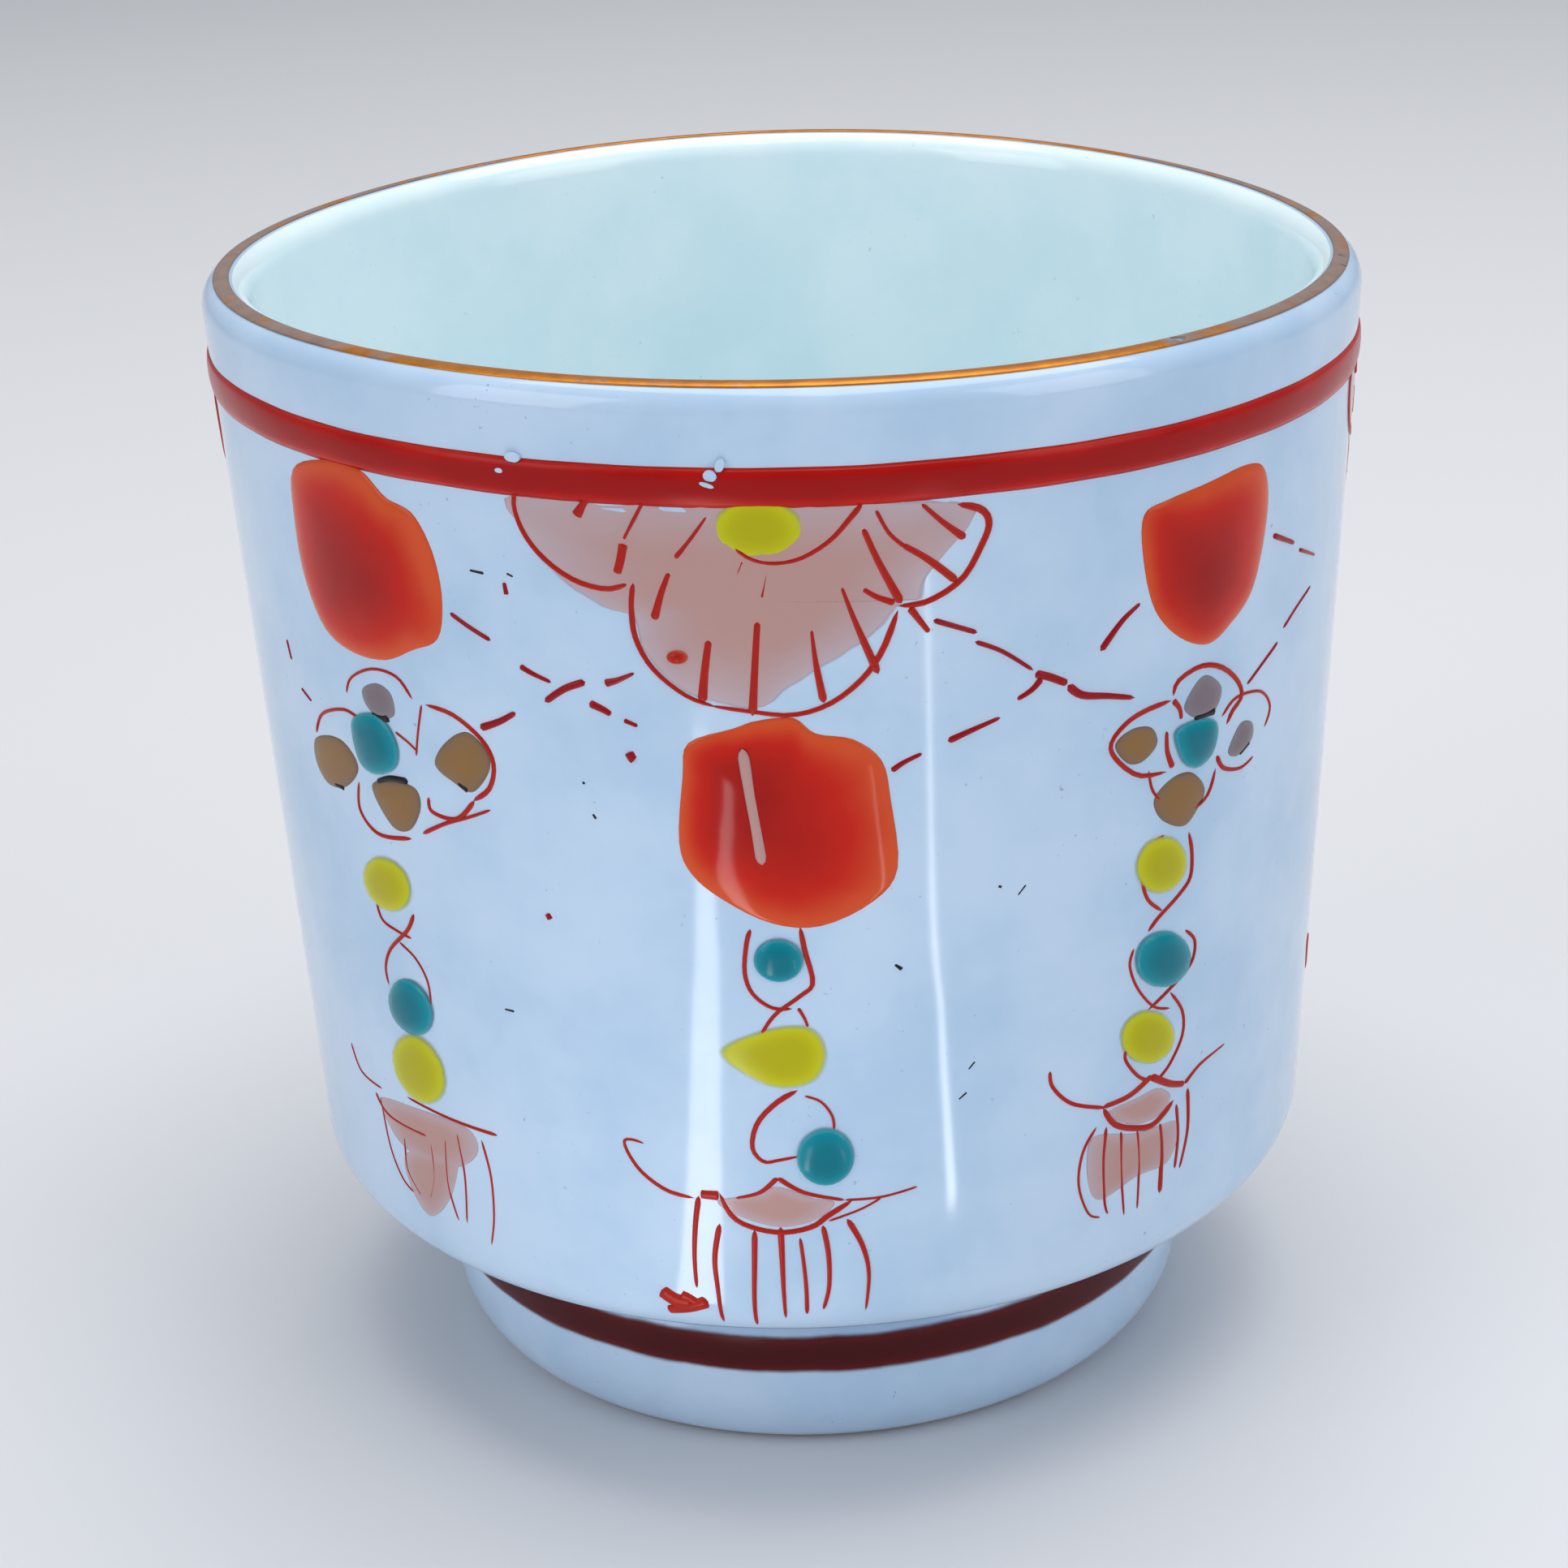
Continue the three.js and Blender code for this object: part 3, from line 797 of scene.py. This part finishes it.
RIGHT = dict(
    jewel=[(1404, 634), (1434, 614), (1480, 594), (1530, 570), (1553, 572), (1559, 610), (1552, 672),
           (1538, 728), (1512, 768), (1484, 793), (1448, 784), (1418, 750), (1404, 690)],
    heart=[(1441, 905), (1455, 890), (1485, 882), (1498, 892), (1492, 925), (1472, 946), (1452, 938)],
    brown=[[(1370, 918), (1390, 898), (1415, 895), (1423, 915), (1405, 938), (1385, 940)],
           [(1418, 985), (1440, 958), (1465, 950), (1482, 970), (1472, 998), (1455, 1018), (1428, 1010)]],
    grey=[[(1455, 872), (1470, 840), (1485, 830), (1502, 845), (1495, 872), (1475, 885)],
          [(1510, 925), (1525, 890), (1540, 888), (1540, 908), (1522, 930)]],
    soot=[([(1468, 884), (1480, 879), (1494, 874)], 0.3, 0.5),
          ([(1430, 990), (1455, 998), (1480, 984)], 0.12, 0.2),
          ([(1524, 928), (1536, 912)], 0.2, 0.4)],
    lines=[([(1442, 857), (1448, 838), (1475, 820), (1500, 820), (1520, 835), (1527, 855), (1515, 875),
             (1508, 892)],
            0.3, 0.3),
           ([(1440, 862), (1410, 874), (1385, 890), (1366, 915), (1372, 935), (1400, 955), (1435, 950)],
            0.32, 0.26),
           ([(1502, 882), (1520, 858), (1550, 850), (1562, 868), (1555, 895)], 0.2, 0.16),
           ([(1496, 930), (1505, 945), (1525, 945), (1542, 930)], 0.34, 0.12),
           ([(1434, 900), (1435, 925), (1442, 945)], 0.2, 0.4),
           ([(1442, 862), (1450, 872), (1452, 885)], 0.36, 0.2),
           ([(1412, 948), (1418, 975), (1440, 995), (1465, 996), (1485, 978), (1495, 945)], 0.16, 0.26),
           ([(1432, 1028), (1412, 1048), (1405, 1080), (1412, 1108), (1430, 1122)], 0.3, 0.2),
           ([(1462, 1024), (1466, 1050), (1464, 1080), (1450, 1102), (1425, 1130), (1412, 1148)], 0.26,
            0.26),
           ([(1458, 1145), (1470, 1158), (1466, 1185), (1445, 1212), (1412, 1245)], 0.2, 0.24),
           ([(1395, 1168), (1390, 1190), (1400, 1218), (1420, 1240), (1440, 1242)], 0.18, 0.16),
           ([(1440, 1222), (1455, 1245), (1455, 1275), (1440, 1310), (1425, 1330)], 0.2, 0.22),
           ([(1388, 1285), (1385, 1305), (1400, 1325), (1415, 1332)], 0.2, 0.22),
           ([(1292, 1320), (1296, 1340), (1320, 1360), (1362, 1365)], 0.22, 0.24),
           ([(1358, 1364), (1390, 1350), (1418, 1325)], 0.3, 0.4),
           ([(1416, 1326), (1440, 1335), (1458, 1335)], 0.46, 0.36),
           ([(1458, 1335), (1478, 1310), (1508, 1285)], 0.3, 0.08),
           ([(1358, 1366), (1372, 1385), (1395, 1390), (1420, 1385), (1445, 1355)], 0.34, 0.4),
           ([(1350, 1388), (1333, 1420), (1328, 1460), (1340, 1495), (1355, 1500)], 0.2, 0.12),
           ([(1362, 1388), (1358, 1430), (1360, 1480), (1364, 1496)], 0.26, 0.12),
           ([(1380, 1394), (1380, 1440), (1384, 1498)], 0.24, 0.12),
           ([(1400, 1392), (1402, 1440), (1400, 1490)], 0.2, 0.12),
           ([(1428, 1384), (1430, 1420), (1428, 1470)], 0.22, 0.36),
           ([(1448, 1360), (1450, 1400), (1446, 1440)], 0.22, 0.2),
           ([(1462, 1340), (1462, 1390), (1452, 1440)], 0.3, 0.14)],
    yellow=[((1428, 1065), (30, 36), 0.35), ((1412, 1277), (33, 32), -0.5)],
    turquoise=[((1430, 1181), (32, 34), 0.6)],
    fill=[(1362, 1372), (1400, 1352), (1425, 1340), (1442, 1350), (1425, 1376), (1392, 1386)],
    threads=[(1345, 1400), (1400, 1395), (1452, 1380), (1440, 1430), (1400, 1450), (1350, 1480),
             (1336, 1440)],
)


BEAD_FADE = 3  # pixels by which a bead's soft edge reaches past its solid colour


def narrow_pendant(number, turn, art):
    tag = f"narrow_pendant_{number}"

    def drops(key, thickness):
        return lambda bm: [drop(bm, outline, turn, thickness) for outline in art[key]]

    def ovals(key, thickness):
        return lambda bm: [
            oval(bm, centre, (half[0] + BEAD_FADE, half[1] + BEAD_FADE), turn, thickness, tilt)
            for centre, half, tilt in art[key]
        ]

    def strokes(key):
        return lambda bm: [stroke(bm, path, turn, start, end) for path, start, end in art[key]]
    painted(f"{tag}_jewel_drop", RED_JEWEL,
            lambda bm: drop(bm, art["jewel"], turn, JEWEL_THICKNESS, 22, 64, drift=0.3), (f"{tag}_jewel",))
    painted(f"{tag}_brown_petals", BROWN, drops("brown", PETAL_THICKNESS),
            (f"{tag}_flower",))
    painted(f"{tag}_grey_petals", GREY, drops("grey", PETAL_THICKNESS))
    painted(f"{tag}_soot", SOOT, strokes("soot"))
    painted(f"{tag}_red_lines", RED_LINE, strokes("lines"), (f"{tag}_tassel",))
    painted(f"{tag}_yellow_beads", YELLOW, ovals("yellow", 0.2 * MM),
            (f"{tag}_upper_bead", f"{tag}_lower_bead"))
    painted(f"{tag}_turquoise_bead", TURQUOISE, ovals("turquoise", BEAD_THICKNESS),
            (f"{tag}_middle_bead",))
    painted(f"{tag}_heart", TURQUOISE,
            lambda bm: drop(bm, art["heart"], turn, HEART_THICKNESS))
    painted(f"{tag}_pink_wash", PINK,
            lambda bm: [drop(bm, art[key], turn, WASH_THICKNESS) for key in ("fill", "threads")])


for number, quarters, art in ((2, 0, RIGHT), (4, 1, RIGHT), (6, 2, RIGHT), (8, 0, LEFT)):
    narrow_pendant(number, quarters * TURN / 4, art)
print("narrow pendants", 4)

# %% [markdown]
# Crimson dashes swing from pendant to pendant like strings of small beads. They are single touches of
# a fine brush, each heavier at one end. Small slips of the brush and specks from the kiln lie between.

# %% Swags and specks
RIGHT_SWAG = [
    ([(1147, 765), (1172, 772), (1201, 780)], 0.3, 0.26),
    ([(1198, 791), (1232, 803), (1270, 826)], 0.26, 0.2),
    ([(1272, 830), (1290, 834), (1312, 842)], 0.44, 0.4),
    ([(1280, 836), (1268, 850), (1250, 862)], 0.4, 0.24),
    ([(1312, 844), (1330, 856), (1362, 857), (1395, 859)], 0.5, 0.26),
    ([(1096, 951), (1112, 940), (1134, 929)], 0.34, 0.2),
    ([(1165, 914), (1195, 900), (1230, 884)], 0.4, 0.2),
    ([(1401, 742), (1378, 765), (1352, 802)], 0.2, 0.46),
]
RIGHT_EDGE = [
    ([(1565, 657), (1592, 666)], 0.34, 0.24), ([(1598, 674), (1618, 680)], 0.24, 0.16),
    ([(1533, 842), (1552, 816), (1572, 788)], 0.2, 0.2),
    ([(1578, 772), (1595, 745), (1613, 718)], 0.2, 0.14),
]
LEFT_SWAG = [
    ([(550, 760), (575, 778), (601, 794)], 0.26, 0.26), ([(637, 825), (652, 834), (676, 845)], 0.36, 0.2),
    ([(668, 869), (692, 853), (718, 844)], 0.34, 0.4), ([(742, 846), (758, 842), (779, 833)], 0.46, 0.14),
    ([(723, 870), (740, 878), (750, 884)], 0.46, 0.3), ([(766, 891), (783, 898)], 0.26, 0.2),
    ([(588, 901), (612, 893), (632, 882)], 0.44, 0.26), ([(772, 930), (776, 937), (779, 940)], 0.5, 0.5),
    ([(617, 723), (620, 738)], 0.2, 0.3), ([(672, 1128), (676, 1135)], 0.3, 0.36),
]
LEFT_EDGE = [([(352, 790), (358, 815)], 0.16, 0.14), ([(370, 850), (382, 866)], 0.16, 0.14)]
SWAGS = (RIGHT_SWAG + RIGHT_EDGE + LEFT_SWAG + LEFT_EDGE, RIGHT_SWAG, RIGHT_SWAG + LEFT_SWAG, LEFT_SWAG)
SPECKS = [
    ([(574, 708), (592, 712)], 0.12, 0.16), ([(620, 712), (628, 716)], 0.12, 0.1),
    ([(715, 967), (718, 969)], 0.14, 0.14),
    ([(728, 1006), (732, 1012)], 0.12, 0.14), ([(1101, 1189), (1110, 1195)], 0.12, 0.24),
    ([(934, 1282), (936, 1284)], 0.2, 0.24),
    ([(1228, 1092), (1232, 1093)], 0.14, 0.14), ([(1252, 1103), (1262, 1090)], 0.08, 0.1),
    ([(1192, 1318), (1200, 1308)], 0.08, 0.1),
    ([(1180, 1355), (1190, 1346)], 0.08, 0.12), ([(932, 640), (936, 642)], 0.2, 0.2),
    ([(620, 1245), (632, 1248)], 0.1, 0.14),
]
for quarter, dashes in enumerate(SWAGS):
    painted(f"swag_dashes_{quarter + 1}", RED_DASH, lambda bm: [
        stroke(bm, path, quarter * TURN / 4, start, end, steps=12) for path, start, end in dashes])
painted("kiln_specks", SOOT, lambda bm: [
    stroke(bm, path, 0, start, end, 0.03 * MM, steps=8) for path, start, end in SPECKS])

CHIPS = [
    ((628, 569), (10, 6)), ((872, 590), (9, 7)), ((884, 577), (6, 9)), ((868, 601), (10, 3)),
    ((612, 585), (5, 3)),
]
painted("band_chips", GLAZE, lambda bm: [
    oval(bm, centre, half, 0, 0.02 * MM, 0.3, 14, base=0.18 * MM) for centre, half in CHIPS])
print("swags", len(SWAGS), "dashes", sum(len(dashes) for dashes in SWAGS))

# %% [markdown]
# A pale floor, a bright sky and large soft lamps light the cup evenly. Two narrow lamps lie low in front,
# off to the sides, where the leaning wall mirrors them as fine upright lines.


# %% Floor and lights
def lamp(name, place, target, size, power, colour=(1, 1, 1)):
    data = bpy.data.lights.new(name, "AREA")
    data.shape = "RECTANGLE"
    data.size, data.size_y = size
    data.energy = power
    data.color = colour
    light = bpy.data.objects.new(name, data)
    light.location = place
    light.rotation_euler = (Vector(target) - Vector(place)).to_track_quat("-Z", "Y").to_euler()
    light.visible_camera = False
    bpy.context.scene.collection.objects.link(light)
    return light


middle_of_cup = (0, 0, 0.03)
lamp("top_softbox", (0.05, 0.05, 0.55), middle_of_cup, (0.5, 0.5), 2.3)
lamp("left_softbox", (-0.5, -0.35, 0.3), middle_of_cup, (0.35, 0.5), 1.1)
lamp("right_softbox", (0.5, -0.35, 0.3), middle_of_cup, (0.35, 0.5), 0.9)


def low_strip(name, bearing, near, far, width, power):
    reach = (near + far) / 2
    place = Vector((math.sin(bearing) * reach, -math.cos(bearing) * reach, 0.002))
    strip = lamp(name, place, place + Vector((0, 0, 1)), (width, far - near), power)
    strip.rotation_euler = (math.pi, 0, bearing)
    return strip


low_strip("left_strip", math.radians(-18.5), 0.036, 0.1, 0.005, 0.006)
low_strip("right_strip", math.radians(22), 0.045, 0.13, 0.0012, 0.003)

world = bpy.data.worlds.new("sky")
world.use_nodes = True
bpy.context.scene.world = world
background = world.node_tree.nodes["Background"]
background.inputs["Color"].default_value = (0.86, 0.92, 1, 1)
background.inputs["Strength"].default_value = 0.38

bm = bmesh.new()
bmesh.ops.create_grid(bm, x_segments=1, y_segments=1, size=1.5)
mesh = bpy.data.meshes.new("floor")
bm.to_mesh(mesh)
bm.free()
floor_plane = bpy.data.objects.new("floor", mesh)
FLOOR, tree, shader = new_material("pale_floor", 0.6)
shader.inputs["Base Color"].default_value = tint(226, 226, 228)
mesh.materials.append(FLOOR)
bpy.context.scene.collection.objects.link(floor_plane)
bpy.context.scene.view_settings.view_transform = "Standard"
